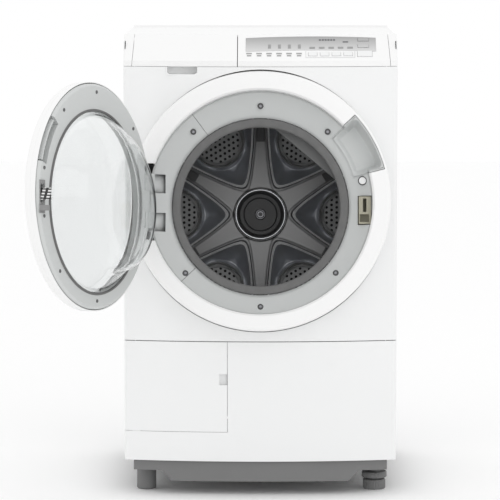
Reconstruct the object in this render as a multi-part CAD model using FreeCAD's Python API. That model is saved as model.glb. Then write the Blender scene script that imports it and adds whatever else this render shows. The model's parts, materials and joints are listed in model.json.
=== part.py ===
"""Front load washing machine, millimetres, +Z up, front towards -Y.

The origin is on the floor, under the middle of the cabinet. The drum, the collar round the loading
opening, the bezel and the door share one frame that leans back by TILT, the loading frame: x is the
machine's X, y runs into the machine along the drum's axis and z climbs the sloping opening. Shapes of
that group are drawn there and moved into place by tilted(). The door is drawn shut and swung open.
"""
import FreeCAD
import Part
import math
import os

from FreeCAD import Placement, Rotation, Vector

# --- cabinet ---------------------------------------------------------------------------------------
WIDTH = 600.0            # over the side panels
FRONT_Y = -296.0         # front corners of the cabinet
REAR_Y = 296.0           # back of the rear panel
BOW = 28.0               # how far the middle of the front stands out from its corners
CORNER = 9.0             # radius of the front corners in plan
SHEET = 2.0              # pressed steel and moulded panel thickness
RETURN_Y = -271.0        # where the front panels' side returns end
SIDE_START_Y = -265.0    # where the side panels begin
PANEL_BOTTOM = 76.0
SEAM_Z = 342.0           # joint between the upper and lower front panels
FASCIA_Z = 946.0         # joint under the fascia and the detergent drawer
FOLD_Z = 958.0           # above this height the fascia leans back
TOP_Z = 1013.0
SLOPE = Vector(0, 65.0, TOP_Z - FOLD_Z)  # from the fold to the top edge
GAP = 0.8                # half of the joint between two panels

# --- loading frame: collar, bezel, door, drum --------------------------------------------------------
TILT = 8.0
RING_CENTRE = Vector(0, -364.0, 654.4)
COLLAR_R = 284.0
COLLAR_RISE = 2.8        # the collar's outer circle sits this much above the door's centre
DOOR_HOLE_R = 244.5
DRUM_DROP = 7.2          # the drum's axis runs this much below the door's centre
BEZEL_START = 38.0       # depth of the bezel's outer edge
BEZEL_END = 70.0
GASKET_R = 193.4
MOUTH_R = 174.0
TUB_R = 270.0
DRUM_R = 250.0
TUB_FRONT = 100.0
DRUM_FRONT = 117.0
STAR_FACE = 455.0
DRUM_BACK = 500.0
TUB_BACK = 545.0
HUB_R = 53.0
SHAFT_R = 17.5

# --- door --------------------------------------------------------------------------------------------
DOOR_R = 241.5
DOOR_T = 33.0
INNER_R = 234.5
GLASS_R = 197.0            # outer window
OPENING_R = 193.0          # hole of the inner ring, which holds the bowl
OPENING_DROP = 12.0        # the hole sits this much below the door's centre
DOOR_OPEN = 117.0        # the angle the door is drawn at
HINGE_X = -254.0
HINGE_DEPTH = 6.0
HINGE_SPAN = 80.0        # half of the hinge pin's length
ARM_V = 42.0             # height of each hinge arm above and below the middle
ARM_HALF = 17.5
GRIP_ANGLES = (15.6, 42.0)
HANDLE_ANGLE = 28.0         # where the pull handle's pivot lies along the rim
SCREW_ANGLES = (90, 52, 136, 13, -13, -47, -91)
BEZEL_SCREWS = (90, 132, 48, 221.7, 318.5, 270)

# --- drawer, fascia ------------------------------------------------------------------------------------
DRAWER_X = (-281.0, -51.0)
FASCIA_X = (-49.4, 284.0)
EDGE_LEAN = 5.0          # the fascia's ends lean in by this much at the top
LIP_X = (-201.5, -140.0)
WINDOW_X = (-32.5, 253.0)
WINDOW_S = (0.40, 0.93)  # along the slope, as a share of its length
KEY_ROW_S = 0.26

# --- base ------------------------------------------------------------------------------------------------
PAN_HALF = 280.0
PAN_BOTTOM = 53.0
SKIRT_Z = 30.0
FOOT_X = 254.0
FOOT_FRONT_Y = -226.0
FOOT_REAR_Y = 232.0

FILTER_X = -73.0         # free edge of the filter door
FILTER_Z = 141.5
FILTER_HINGE = Vector(-296.0, -272.0, 0)
FILTER_AXIS = Vector(-180.0, 0, 232.0)
NOTCH_Z = (246.0, 270.0)

Y_AXIS = Vector(0, 1, 0)
Z_AXIS = Vector(0, 0, 1)


def save(name, shape):
    """Writes one sub-part as a STEP file and prints its volume, solid count and validity."""
    shape.exportStep(f"parts/{name}.step")
    kind = "ok" if shape.isValid() else "NOT VALID"
    print(f"{name:24s} {shape.Volume / 1000:9.1f} cm3  {len(shape.Solids)} solids  {kind}")


def box(x, y, z):
    """A box from three (low, high) pairs."""
    return Part.makeBox(x[1] - x[0], y[1] - y[0], z[1] - z[0], Vector(x[0], y[0], z[0]))


def tilted(shape):
    """Moves a shape from the loading frame to the machine."""
    moved = shape.copy()
    moved.Placement = Placement(RING_CENTRE, Rotation(Vector(1, 0, 0), -TILT)).multiply(moved.Placement)
    return moved


def swung(shape):
    """Swings a door piece, drawn shut, to the open angle and moves it to the machine."""
    moved = shape.copy()
    moved.rotate(Vector(HINGE_X, HINGE_DEPTH, 0), Z_AXIS, -DOOR_OPEN)
    return tilted(moved)


def disc(radius, depth, v=0.0, x=0.0):
    """A cylinder along the drum's direction, from depth[0] to depth[1]."""
    return Part.makeCylinder(radius, depth[1] - depth[0], Vector(x, depth[0], v), Y_AXIS)


def ring(outer, inner, depth, v=0.0):
    return disc(outer, depth, v).cut(disc(inner, (depth[0] - 1, depth[1] + 1), v))


def turned(profile, v=0.0):
    """Revolves a closed outline of (radius, depth) points about the drum's direction."""
    points = [Vector(r, y, 0) for r, y in profile]
    face = Part.Face(Part.makePolygon(points + points[:1]))
    solid = face.revolve(Vector(0, 0, 0), Y_AXIS, 360)
    solid = Part.Solid(solid) if solid.ShapeType == "Shell" else solid
    solid.translate(Vector(0, 0, v))
    return solid


def funnel(big, small, depth, v):
    """A solid between a circle of radius big, centred, and one of radius small, moved by v."""
    rings = []
    for radius, y, rise in ((big, depth[0], 0.0), (small, depth[1], v)):
        rings.append(Part.Wire(Part.makeCircle(radius, Vector(0, y, rise), Y_AXIS)))
    return Part.makeLoft(rings, True, True)


def polar(radius, degrees, y=0.0):
    a = math.radians(degrees)
    return Vector(radius * math.cos(a), y, radius * math.sin(a))


def sector(radii, angles, depth):
    """A block of ring between two radii and two angles."""
    middle = sum(angles) / 2
    corner = [polar(r, a) for r in radii for a in angles]
    edges = [
        Part.Arc(corner[0], polar(radii[0], middle), corner[1]).toShape(),
        Part.makeLine(corner[1], corner[3]),
        Part.Arc(corner[3], polar(radii[1], middle), corner[2]).toShape(),
        Part.makeLine(corner[2], corner[0]),
    ]
    face = Part.Face(Part.Wire(edges))
    block = face.extrude(Vector(0, depth[1] - depth[0], 0))
    block.translate(Vector(0, depth[0], 0))
    return block


def joined(shapes):
    first, rest = shapes[0], shapes[1:]
    return first.multiFuse(rest).removeSplitter() if rest else first


def group(shapes):
    return Part.makeCompound(shapes)


# --- the bowed front -----------------------------------------------------------------------------------

def bow_y(x):
    """Y of the outer face of the front at x."""
    flat = WIDTH / 2 - CORNER
    radius = (flat ** 2 + BOW ** 2) / (2 * BOW)
    return FRONT_Y - BOW + radius - math.sqrt(radius ** 2 - x ** 2)


def front_face(inset, back):
    """Plan of the cabinet's front, set in from the outer face, closed by a straight line at back."""
    side = WIDTH / 2 - inset
    flat = WIDTH / 2 - CORNER
    bend = math.sin(math.radians(45)) * (CORNER - inset)
    corner_y = FRONT_Y + CORNER
    left, right = (
        [
            Vector(s * side, back, 0),
            Vector(s * side, corner_y, 0),
            Vector(s * (flat + bend), corner_y - bend, 0),
            Vector(s * flat, FRONT_Y + inset, 0),
        ]
        for s in (-1, 1)
    )
    edges = [
        Part.makeLine(left[0], left[1]),
        Part.Arc(left[1], left[2], left[3]).toShape(),
        Part.Arc(left[3], Vector(0, FRONT_Y - BOW + inset, 0), right[3]).toShape(),
        Part.Arc(right[3], right[2], right[1]).toShape(),
        Part.makeLine(right[1], right[0]),
        Part.makeLine(right[0], left[0]),
    ]
    return Part.Face(Part.Wire(edges))


def front_block(z, inset=0.0, back=RETURN_Y):
    block = front_face(inset, back).extrude(Vector(0, 0, z[1] - z[0]))
    block.translate(Vector(0, 0, z[0]))
    return block


def front_shell(z, thickness=SHEET):
    """A panel that follows the bow and returns round both front corners."""
    return front_block(z).cut(front_block((z[0] - 1, z[1] + 1), thickness, RETURN_Y + 5))


def fascia_block(inset, back):
    """The fascia's section: upright up to the fold, then leaning back to the top edge."""
    face = front_face(inset, back)
    upright = face.extrude(Vector(0, 0, FOLD_Z - FASCIA_Z))
    upright.translate(Vector(0, 0, FASCIA_Z))
    leaning = face.extrude(SLOPE)
    leaning.translate(Vector(0, 0, FOLD_Z))
    return upright.fuse(leaning)


def fascia_window(x, lean, z=(FASCIA_Z, TOP_Z + 2)):
    """A cutter through the fascia: its outer end leans in towards the top."""
    points = [
        Vector(x[0], 0, z[0]),
        Vector(x[1], 0, z[0]),
        Vector(x[1] - lean[1], 0, z[1]),
        Vector(x[0] + lean[0], 0, z[1]),
    ]
    face = Part.Face(Part.makePolygon(points + points[:1]))
    block = face.extrude(Vector(0, 400, 0))
    block.translate(Vector(0, FRONT_Y - BOW - 50, 0))
    return block


def slope_point(x, s, out=0.0):
    """A point on the leaning face of the fascia: s runs from 0 at the fold to 1 at the top edge."""
    normal = Vector(0, -SLOPE.z, SLOPE.y).normalize()
    return Vector(x, bow_y(x) + s * SLOPE.y, FOLD_Z + s * SLOPE.z) + normal * out


def slope_plate(x, s, out):
    """A plate on the leaning face between two x, two s and two heights above the face."""
    mid = sum(x) / 2
    low, high = slope_point(mid, s[0], out[0]), slope_point(mid, s[1], out[0])
    along = high - low
    lift = Vector(0, -SLOPE.z, SLOPE.y).normalize() * (out[1] - out[0])
    lean = bow_y(x[1]) - bow_y(x[0])
    across = Vector(x[1] - x[0], lean, 0)
    corner = low - across * 0.5
    face = Part.Face(Part.makePolygon([corner, corner + across, corner + across + along,
                                       corner + along, corner]))
    return face.extrude(lift)


# --- cabinet panels -----------------------------------------------------------------------------------

def make_cabinet():
    side_z = (PANEL_BOTTOM, 998.0)
    side_y = (SIDE_START_Y, REAR_Y - 4)
    save("left_side_panel", box((-WIDTH / 2, -WIDTH / 2 + SHEET), side_y, side_z))
    save("right_side_panel", box((WIDTH / 2 - SHEET, WIDTH / 2), side_y, side_z))

    rear = box((-WIDTH / 2 + 3, WIDTH / 2 - 3), (REAR_Y - 3, REAR_Y), (PANEL_BOTTOM + 4, 995))
    x, z, radius = CORD_INLET
    rear = rear.fuse(disc(radius + 7, (REAR_Y - 1, REAR_Y + 6), z, x))
    cutters = [disc(r, (REAR_Y - 10, REAR_Y + 10), z, x) for x, z, r in REAR_HOLES + (CORD_INLET,)]
    save("rear_panel", rear.cut(group(cutters)).removeSplitter())

    save("front_panel", make_front_panel())
    save("lower_front_panel", make_lower_panel())
    save("top_cover", make_top_cover())


REAR_HOLES = ((205.0, 950.0, 16.0), (-205.0, 130.0, 18.0))
CORD_INLET = (-150.0, 940.0, 8.0)


def make_front_panel():
    """Upper front: bowed sheet with the collar's sloping hole and the finger recess under the drawer."""
    panel = front_shell((SEAM_Z + GAP, FASCIA_Z - GAP))
    hole = tilted(disc(COLLAR_R + 1.5, (-60, 200), COLLAR_RISE))
    recess_x = (LIP_X[0] - 2, LIP_X[1] + 2)
    recess_z = (FASCIA_Z - 17, FASCIA_Z - GAP)
    middle_y = bow_y(sum(LIP_X) / 2)
    cutter = box(recess_x, (middle_y - 20, middle_y + 18), (recess_z[0], recess_z[1] + 5))
    cutter = cutter.makeFillet(7, [e for e in cutter.Edges if is_low_depth_edge(e, recess_z[0])])
    liner = box((recess_x[0] - 2, recess_x[1] + 2), (middle_y + 1, middle_y + 20),
                (recess_z[0] - 2, recess_z[1]))
    return panel.cut(hole).fuse(liner).cut(cutter).removeSplitter()


def is_low_depth_edge(edge, z):
    """True for an edge along Y at height z."""
    ends = [v.Point for v in edge.Vertexes]
    if len(ends) != 2:
        return False
    return abs(ends[0].x - ends[1].x) < 1e-6 and all(abs(p.z - z) < 1e-6 for p in ends)


def filter_opening(grow):
    return box((-WIDTH, FILTER_X + grow), (-400, 0), (FILTER_Z - grow, SEAM_Z + 20))


def make_lower_panel():
    panel = front_shell((PANEL_BOTTOM, SEAM_Z - GAP))
    return panel.cut(filter_opening(GAP)).removeSplitter()


def make_top_cover():
    """Top plate that falls gently to a raised rear lip, with a cheek at each end of the fascia."""
    half = WIDTH / 2 - 1.5
    outline = [
        (-300.0, TOP_Z), (REAR_Y - 8, 1008.0), (REAR_Y - 6, 1012.5), (REAR_Y + 1, 1012.5),
        (REAR_Y + 1, 999.0), (REAR_Y - 8, 999.0), (REAR_Y - 8, 1003.0), (-300.0, TOP_Z - 5),
    ]
    points = [Vector(-half, y, z) for y, z in outline]
    plate = Part.Face(Part.makePolygon(points + points[:1])).extrude(Vector(2 * half, 0, 0))
    face = front_face(1.5, REAR_Y + 40)
    face.translate(SLOPE)
    prism = face.extrude(Vector(0, 0, 100))
    prism.translate(Vector(0, 0, 950 - SLOPE.z))
    plate = plate.common(prism)
    sides = [box((s * half - 2, s * half + 2), (-235, REAR_Y - 10), (999, 1009)) for s in (-1, 1)]
    plate = plate.fuse([s.common(prism) for s in sides])
    cheeks = fascia_block(0, -285).cut(fascia_block(3.0, -270))
    middle = fascia_window((DRAWER_X[0] - GAP, FASCIA_X[1] + GAP), (EDGE_LEAN, EDGE_LEAN))
    cheeks = cheeks.cut(middle)
    for side in (-1, 1):
        wall = box((side * WIDTH / 2 - 4, side * WIDTH / 2 + 4), (SIDE_START_Y - 0.5, REAR_Y), (900, 998.5))
        cheeks = cheeks.cut(wall)
    plate = plate.cut(fascia_block(0, -285).cut(fascia_block(3.4, -270)))
    return plate.fuse(cheeks).removeSplitter()


# --- base ----------------------------------------------------------------------------------------------

def make_base():
    plan = front_block((PAN_BOTTOM, PANEL_BOTTOM - 0.5), 8.0, REAR_Y - 8)
    plan = plan.common(box((-PAN_HALF, PAN_HALF), (-400, 400), (0, 100)))
    hollow = front_block((PAN_BOTTOM + 3, PANEL_BOTTOM + 10), 20.0, REAR_Y - 12)
    hollow = hollow.common(box((-PAN_HALF + 12, PAN_HALF - 12), (-400, 400), (0, 100)))
    half, chamfer = 196.0, 16.0
    points = [
        Vector(-half, 0, SKIRT_Z), Vector(half, 0, SKIRT_Z), Vector(half + chamfer, 0, SKIRT_Z + chamfer),
        Vector(half + chamfer + 8, 0, PAN_BOTTOM + 2), Vector(-half - chamfer - 8, 0, PAN_BOTTOM + 2),
        Vector(-half - chamfer, 0, SKIRT_Z + chamfer),
    ]
    skirt = Part.Face(Part.makePolygon(points + points[:1])).extrude(Vector(0, 60, 0))
    skirt.translate(Vector(0, -330, 0))
    band = front_block((0, 100), 8.0).cut(front_block((-1, 101), 14.0, RETURN_Y + 5))
    pan = plan.cut(hollow).fuse(skirt.common(band)).removeSplitter()
    bores = [Part.makeCylinder(15.0, 40, Vector(FOOT_X, FOOT_FRONT_Y, 40))]
    save("base_pan", pan.cut(group(bores)))

    feet = []
    for x, y in ((-FOOT_X, FOOT_FRONT_Y), (-FOOT_X, FOOT_REAR_Y), (FOOT_X, FOOT_REAR_Y)):
        foot = Part.makeCylinder(21.5, PAN_BOTTOM, Vector(x, y, 0))
        feet.append(foot.makeFillet(4, [e for e in foot.Edges if e.BoundBox.ZMax < 1]))
    save("fixed_feet", group(feet))

    centre = Vector(FOOT_X, FOOT_FRONT_Y, 0)
    lock = knurled(28.0, 26.0, 39.5, 30).cut(Part.makeCylinder(14.3, 40, Vector(0, 0, 10)))
    lock.translate(centre)
    save("foot_lock_ring", lock)
    foot = knurled(25.2, 0.0, 22.0, 26)
    foot = foot.fuse(Part.makeCylinder(13.8, 50, Vector(0, 0, 21))).removeSplitter()
    foot.translate(centre)
    save("levelling_foot", foot)


def knurled(radius, low, high, teeth):
    """A disc with a toothed edge, worked with an axis at the origin."""
    body = Part.makeCylinder(radius, high - low, Vector(0, 0, low))
    edges = [e for e in body.Edges if isinstance(e.Curve, Part.Circle)]
    body = body.makeChamfer(2.0, edges)
    cutters = []
    for i in range(teeth):
        a = 2 * math.pi * i / teeth
        at = Vector((radius + 0.6) * math.cos(a), (radius + 0.6) * math.sin(a), low - 1)
        cutters.append(Part.makeCylinder(1.6, high - low + 2, at))
    return body.cut(group(cutters))


# --- collar and bezel --------------------------------------------------------------------------------------

GRIP_R = (211.0, 277.0)
GRIP_FLOOR = 62.0
HINGE_BAY_X = (-263.0, -225.0)
HINGE_BAY_V = 84.0
COVER_ANGLES = (127.5, 225.0)


def make_collar():
    """Sloping collar: a rounded front band, a wall down to the bezel and an outer wall into the cabinet."""
    outer, inner = COLLAR_R, DOOR_HOLE_R
    rounding = 7.0
    body = turned([
        (inner + 14, 0), (outer - rounding, 0), (outer - 2, 2), (outer, rounding), (outer, 118),
        (outer - 3, 118), (outer - 3, 10), (outer - 9, 4), (inner + 14, 4),
    ], COLLAR_RISE)
    lip = turned([(inner + 4, 0), (inner + 21, 0), (inner + 21, 4), (inner + 5, 4), (inner + 3, 8),
                  (inner + 3, BEZEL_START - 0.5), (inner, BEZEL_START - 0.5), (inner, 4)])
    body = body.fuse(lip).removeSplitter()
    grip = sector((200, GRIP_R[1] + 3.0), (GRIP_ANGLES[0] - 0.8, GRIP_ANGLES[1] + 0.8), (-5, 80))
    bay = box(HINGE_BAY_X, (-5, 60), (-HINGE_BAY_V, HINGE_BAY_V))
    save("door_surround", tilted(body.cut(grip).cut(bay)))


def bezel_wall():
    """The conical wall from the collar to the gasket; its small end follows the lower drum axis."""
    def cone(shift):
        return funnel(DOOR_HOLE_R + 1.5, GASKET_R + 2, (BEZEL_START + shift, BEZEL_END + shift), -DRUM_DROP)
    wall = cone(3.0).cut(cone(0.0))
    holes = [disc(6.5, (0, 200), v, x) for x, v, depth in bezel_screw_places()]
    return wall.cut(disc(GASKET_R + 1.2, (0, 200), -DRUM_DROP)).cut(group(holes))


def bezel_screw_places():
    """x, v and the depth of the bezel's surface at each screw."""
    places = []
    fall = (BEZEL_END - BEZEL_START) / (DOOR_HOLE_R - GASKET_R)
    for angle in BEZEL_SCREWS:
        at = polar(220.0, angle)
        places.append((at.x, at.z - DRUM_DROP, BEZEL_START + (DOOR_HOLE_R - at.Length) * fall))
    return places


def make_bezel():
    wall = bezel_wall()
    cover_zone = sector((150, 300), COVER_ANGLES, (0, 200))
    grip_cut = sector((GRIP_R[0] - 2.2, 300), (GRIP_ANGLES[0] - 0.6, GRIP_ANGLES[1] + 0.6), (0, 200))
    lock_cut = box((213, 243), (0, 200), (-48, 16))
    plug_cut = disc(9.5, (0, 200), 48.6, 223.0)
    bezel = wall.cut(cover_zone).cut(grip_cut).cut(lock_cut).cut(plug_cut)
    tray = sector((GRIP_R[0] - 2.0, GRIP_R[1] + 2.0), (GRIP_ANGLES[0] - 0.5, GRIP_ANGLES[1] + 0.5),
                  (2.0, GRIP_FLOOR + 2))
    hollow = sector(GRIP_R, GRIP_ANGLES, (-10, GRIP_FLOOR))
    front_of_cone = funnel(DOOR_HOLE_R + 1.5, GASKET_R + 2, (BEZEL_START, BEZEL_END), -DRUM_DROP)
    open_front = front_of_cone.fuse(disc(DOOR_HOLE_R + 1.0, (-5, BEZEL_START + 0.01)))
    tray = tray.cut(hollow).cut(open_front)
    solids = sorted(tray.Solids, key=lambda s: -s.Volume)
    save("bezel", tilted(group([bezel, solids[0]])))

    narrow = sector((150, 300), (COVER_ANGLES[0] + 0.25, COVER_ANGLES[1] - 0.25), (0, 200))
    cover = wall.common(narrow)
    for v in (-ARM_V, ARM_V):
        cover = cover.cut(box((-249, -208), (0, 200), (v - ARM_HALF - 3, v + ARM_HALF + 3)))
    cover = cover.cut(box((-262, -240), (0, 200), (-HINGE_BAY_V, HINGE_BAY_V)))
    save("bezel_hinge_cover", tilted(max(cover.Solids, key=lambda s: s.Volume)))

    screws = [disc(6.0, (depth - 1.5, depth + 2), v, x) for x, v, depth in bezel_screw_places()]
    save("bezel_screws", tilted(group(screws)))

    lock = box((215, 241.5), (42, 88), (-46, 14)).cut(box((224, 231.5), (30, 80), (-20, 9.5)))
    lock = lock.cut(box((217, 237), (30, 64), (-42, -25)))
    lock = lock.common(disc(DOOR_HOLE_R, (0, 200)))
    save("door_lock", tilted(lock))
    plug = disc(8.5, (44, 70), 48.6, 223.0)
    save("door_buffer", tilted(plug.makeFillet(2, [e for e in plug.Edges if e.BoundBox.YMax < 45])))


def make_gasket():
    profile = [
        (GASKET_R, 64), (GASKET_R, 74), (190, 76), (190, 99), (200, 99.4), (200, 99.8), (186, 99.8),
        (186, 78), (178, 76), (177, 92), (MOUTH_R, 92), (MOUTH_R, 72), (178, 67),
    ]
    save("door_gasket", tilted(turned(profile, -DRUM_DROP)))
    segment = disc(184.0, (98.5, 112), -DRUM_DROP).cut(disc(150.0, (90, 120), -DRUM_DROP))
    chord = box((-200, 200), (80, 130), (153, 200))
    chord.rotate(Vector(0, 0, 0), Y_AXIS, 40)
    chord.translate(Vector(0, 0, -DRUM_DROP))
    save("air_outlet", tilted(segment.common(chord)))


def make_hinge():
    """Bracket on the cabinet: the fixed pin, three knuckles and the arms that carry them."""
    pin = Part.makeCylinder(3.0, 2 * HINGE_SPAN, Vector(HINGE_X, HINGE_DEPTH, -HINGE_SPAN))
    knuckles = []
    for low, high in ((-HINGE_SPAN + 1, -ARM_V - ARM_HALF - 0.5), (-ARM_V + ARM_HALF + 0.5,
                      ARM_V - ARM_HALF - 0.5), (ARM_V + ARM_HALF + 0.5, HINGE_SPAN - 1)):
        knuckles.append(Part.makeCylinder(5.2, high - low, Vector(HINGE_X, HINGE_DEPTH, low)))
        knuckles.append(box((HINGE_X - 5.2, HINGE_X - 1.2), (HINGE_DEPTH, 66), (low, high)))
    plate = box((HINGE_X - 5.2, HINGE_X - 1.2), (50, 66), (-HINGE_SPAN + 1, HINGE_SPAN - 1))
    save("hinge_bracket", tilted(joined([pin, plate] + knuckles)))


# --- door ------------------------------------------------------------------------------------------------

def make_door():
    shell = turned([
        (GLASS_R + 8, 0), (DOOR_R - 6, 0), (DOOR_R - 1.5, 1.5), (DOOR_R, 6), (DOOR_R, 27), (DOOR_R - 2.5, 27),
        (DOOR_R - 2.5, 6.5), (DOOR_R - 7, 2.6), (GLASS_R + 8, 2.6),
    ])
    save("door_outer_frame", swung(shell))

    inner = turned([
        (150, DOOR_T), (INNER_R - 2, DOOR_T), (INNER_R, DOOR_T - 2), (INNER_R + 3, 27.5),
        (INNER_R + 3, 12), (INNER_R + 1, 12), (INNER_R + 1, 27), (INNER_R - 3, 30.5), (150, 30.5),
    ])
    inner = inner.cut(disc(OPENING_R + 1, (0, 60), -OPENING_DROP))
    inner = inner.fuse(ring(OPENING_R + 2.5, OPENING_R, (12, DOOR_T), -OPENING_DROP)).removeSplitter()
    grip_zone = sector((213, 300), GRIP_ANGLES, (8, 60))
    latch_zone = box((218, 232), (0, 60), (-22, 16))
    cup = sector((211, 236.5), (GRIP_ANGLES[0] - 0.6, GRIP_ANGLES[1] + 0.6), (8, DOOR_T - 3))
    cup = cup.cut(sector((213, 234.4), GRIP_ANGLES, (10, 60)))
    rim = sector((234.4, 236.5), (GRIP_ANGLES[0] - 0.6, GRIP_ANGLES[1] + 0.6), (8, 22))
    cup = cup.cut(sector((234.3, 240), (0, 60), (22, 60))).fuse(rim)
    inner = inner.cut(grip_zone).cut(latch_zone).fuse(cup).removeSplitter()
    save("door_inner_ring", swung(inner))

    dome_r, bulge = GLASS_R + 7.4, 5.0
    sphere_r = (dome_r ** 2 + bulge ** 2) / (2 * bulge)
    dome = Part.makeSphere(sphere_r, Vector(0, sphere_r - bulge, 0))
    hollow = Part.makeSphere(sphere_r - 3, Vector(0, sphere_r - bulge, 0))
    lens = dome.cut(hollow).common(disc(dome_r, (-20, 6)))
    save("door_window", swung(lens))

    save("door_bowl", swung(make_bowl(0).cut(make_bowl(3.0))))
    seal = turned([(OPENING_R - 2.6, DOOR_T + 0.2), (OPENING_R + 3, DOOR_T + 0.2), (OPENING_R + 2, DOOR_T + 3),
                   (OPENING_R - 2, DOOR_T + 3)], -OPENING_DROP)
    save("door_seal", swung(seal))
    heads = [disc(4.0, (DOOR_T + 0.05, DOOR_T + 1.4), polar(220, a).z, polar(220, a).x) for a in SCREW_ANGLES]
    save("door_screws", swung(group(heads)))

    arms = []
    for v in (-ARM_V, ARM_V):
        span = (v - ARM_HALF, v + ARM_HALF)
        knuckle = Part.makeCylinder(5.2, 2 * ARM_HALF, Vector(HINGE_X, HINGE_DEPTH, span[0]))
        web = box((HINGE_X + 1, -236), (HINGE_DEPTH - 4, HINGE_DEPTH + 4.5), span)
        side = box((-249.5, -236), (HINGE_DEPTH - 4, 37), span).cut(disc(DOOR_R + 0.4, (0, DOOR_T + 0.3)))
        leaf = box((-249.5, -212), (DOOR_T + 0.3, 37), span)
        arm = joined([knuckle, web.cut(disc(DOOR_R + 0.4, (-5, 60))), side, leaf])
        bore = Part.makeCylinder(3.06, 2 * ARM_HALF + 2, Vector(HINGE_X, HINGE_DEPTH, span[0] - 1))
        arms.append(arm.cut(bore))
    save("door_hinge_arms", swung(group(arms)))

    plate = box((214, 233.5), (DOOR_T + 0.2, DOOR_T + 2), (-44, 24))
    plate = plate.cut(box((217.5, 232.5), (0, 60), (-22.5, 16.5)))
    key = box((220, 233.5), (DOOR_T + 0.2, 50), (-39, -28))
    save("latch_plate", swung(plate.fuse(key).removeSplitter()))
    hook = box((227.5, 230.5), (14, 58), (-17, 7)).fuse(box((221, 230.5), (14, 26), (-17, 7)))
    hook = hook.removeSplitter()
    save("latch_hook", swung(hook))
    handle = sector((227.5, 231.5), (GRIP_ANGLES[0] + 1.2, GRIP_ANGLES[1] - 1.2), (12, 31))
    pivot_at, along = polar(229.5, HANDLE_ANGLE), polar(1, HANDLE_ANGLE + 90)
    pivot = Part.makeCylinder(1.5, 50, Vector(0, 12, 0) + pivot_at - along * 25, along)
    save("door_handle", swung(handle.fuse(pivot).removeSplitter()))


BOWL_RINGS = ((190.0, 28.0, -12.0), (174.0, 52.0, -10.0), (156.0, 74.0, -8.0), (142.0, 96.0, -16.0),
              (112.0, 116.0, -34.0))  # radius, depth and rise of each ring of the glass bowl


def make_bowl(inset):
    """The glass bowl as a solid: a funnel, then a slanting nose that is deepest below the middle."""
    rings = []
    for i, (radius, depth, v) in enumerate(BOWL_RINGS):
        back = 1.0 if i == 0 and inset else inset if i else 0.0
        rings.append(Part.Wire(Part.makeCircle(radius - inset, Vector(0, depth - back, v), Y_AXIS)))
    funnel_part = Part.makeLoft(rings[:3], True, False)
    nose = Part.makeLoft(rings[2:], True, False)
    return funnel_part.fuse(nose).removeSplitter()


# --- drum, tub and drive -----------------------------------------------------------------------------------

def star_face(grow):
    """Outline of the six-armed star of the drum's back, drawn at depth 0."""
    tip_r, tip_half, root_r, root_half, valley_r = 244.0, 13.0, 118.0, 19.0, 70.0
    edges = []
    sides = []
    for i in range(6):
        a = 30 + 60 * i
        out, across = polar(1, a), polar(1, a + 90)
        low = [out * (tip_r + grow) - across * (tip_half + grow), out * root_r - across * (root_half + grow)]
        high = [out * root_r + across * (root_half + grow), out * (tip_r + grow) + across * (tip_half + grow)]
        sides.append((a, low, high))
    for i, (a, low, high) in enumerate(sides):
        following = sides[(i + 1) % 6]
        edges.append(Part.makeLine(low[1], low[0]))
        edges.append(Part.makeLine(low[0], high[1]))
        edges.append(Part.makeLine(high[1], high[0]))
        edges.append(Part.Arc(high[0], polar(valley_r + grow, a + 30), following[1][1]).toShape())
    return Part.Face(Part.Wire(edges))


def star_block(grow, depth):
    block = star_face(grow).extrude(Vector(0, depth[1] - depth[0], 0))
    block.translate(Vector(0, depth[0], -DRUM_DROP))
    return block


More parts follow.
